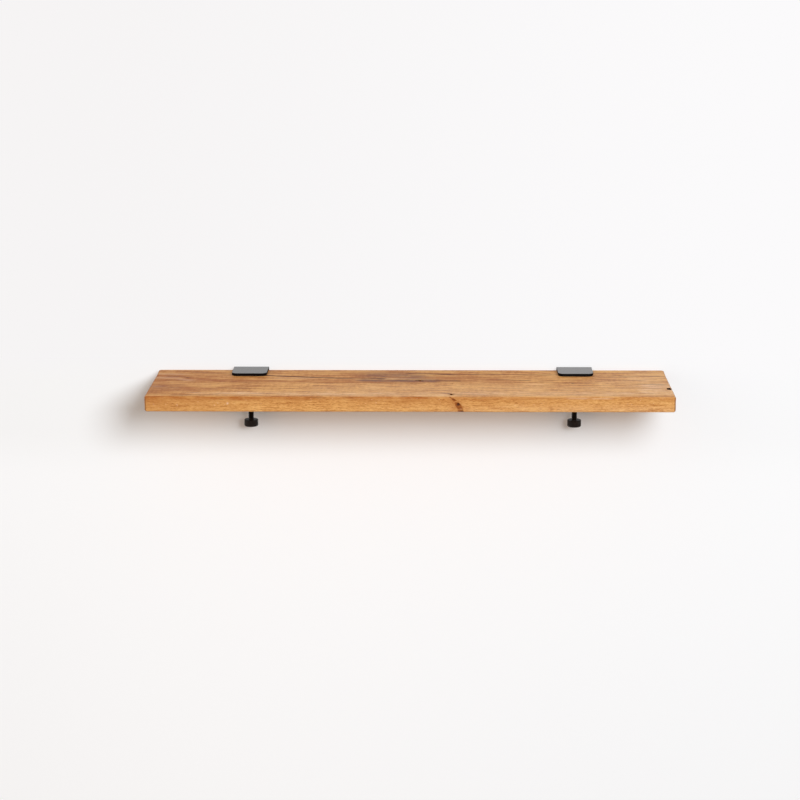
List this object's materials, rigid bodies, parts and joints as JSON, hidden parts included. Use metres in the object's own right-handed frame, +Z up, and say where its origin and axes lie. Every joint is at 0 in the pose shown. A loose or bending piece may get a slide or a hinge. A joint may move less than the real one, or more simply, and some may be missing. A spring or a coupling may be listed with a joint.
{
  "type": "bracket wall shelf",
  "caption": "Oak wall shelf held by black C-shaped steel clamp brackets with thumb screws below",
  "frame": {"origin": "middle of the four wall screw holes, on the wall's surface", "axes": "+X along the wall to the viewer's right, +Y into the wall, +Z up"},
  "size_m": [0.9, 0.2085, 0.1014],
  "materials": {
    "oak": "oiled, fine brushed grain",
    "powder_coat": "satin black powder coat",
    "black_oxide": "oiled black oxide on steel",
    "rubber": "matt black rubber",
    "knob_plastic": "matt black moulded plastic"
  },
  "bodies": {
    "shelf": {"board": "oak", "left_bracket": "powder_coat", "left_liner": "rubber", "left_clamp_nut": "black_oxide", "right_bracket": "powder_coat", "right_liner": "rubber", "right_clamp_nut": "black_oxide"},
    "left_foot": {"left_pressure_foot": "black_oxide", "left_foot_pad": "rubber"},
    "left_screw": {"left_clamp_screw": "black_oxide", "left_retaining_clip": "black_oxide", "left_knob": "knob_plastic"},
    "right_foot": {"right_pressure_foot": "black_oxide", "right_foot_pad": "rubber"},
    "right_screw": {"right_clamp_screw": "black_oxide", "right_retaining_clip": "black_oxide", "right_knob": "knob_plastic"}
  },
  "joints": [
    {"name": "left_foot_lift", "type": "slide", "parent": "shelf", "child": "left_foot", "axis": [0, 0, 1], "range_m": [-0.0165, 0]},
    {"name": "left_screw_turn", "type": "hinge", "parent": "left_foot", "child": "left_screw", "pos_m": [-0.288, -0.034, -0.006], "axis": [0, 0, 1], "range_deg": [-3960, 0]},
    {"name": "right_foot_lift", "type": "slide", "parent": "shelf", "child": "right_foot", "axis": [0, 0, 1], "range_m": [-0.0165, 0]},
    {"name": "right_screw_turn", "type": "hinge", "parent": "right_foot", "child": "right_screw", "pos_m": [0.288, -0.034, -0.006], "axis": [0, 0, 1], "range_deg": [-3960, 0]}
  ],
  "couplings": [
    {"joint": "left_screw_turn", "follows": "left_foot_lift", "rad_per_m": 4188.8},
    {"joint": "right_screw_turn", "follows": "right_foot_lift", "rad_per_m": 4188.8}
  ]
}
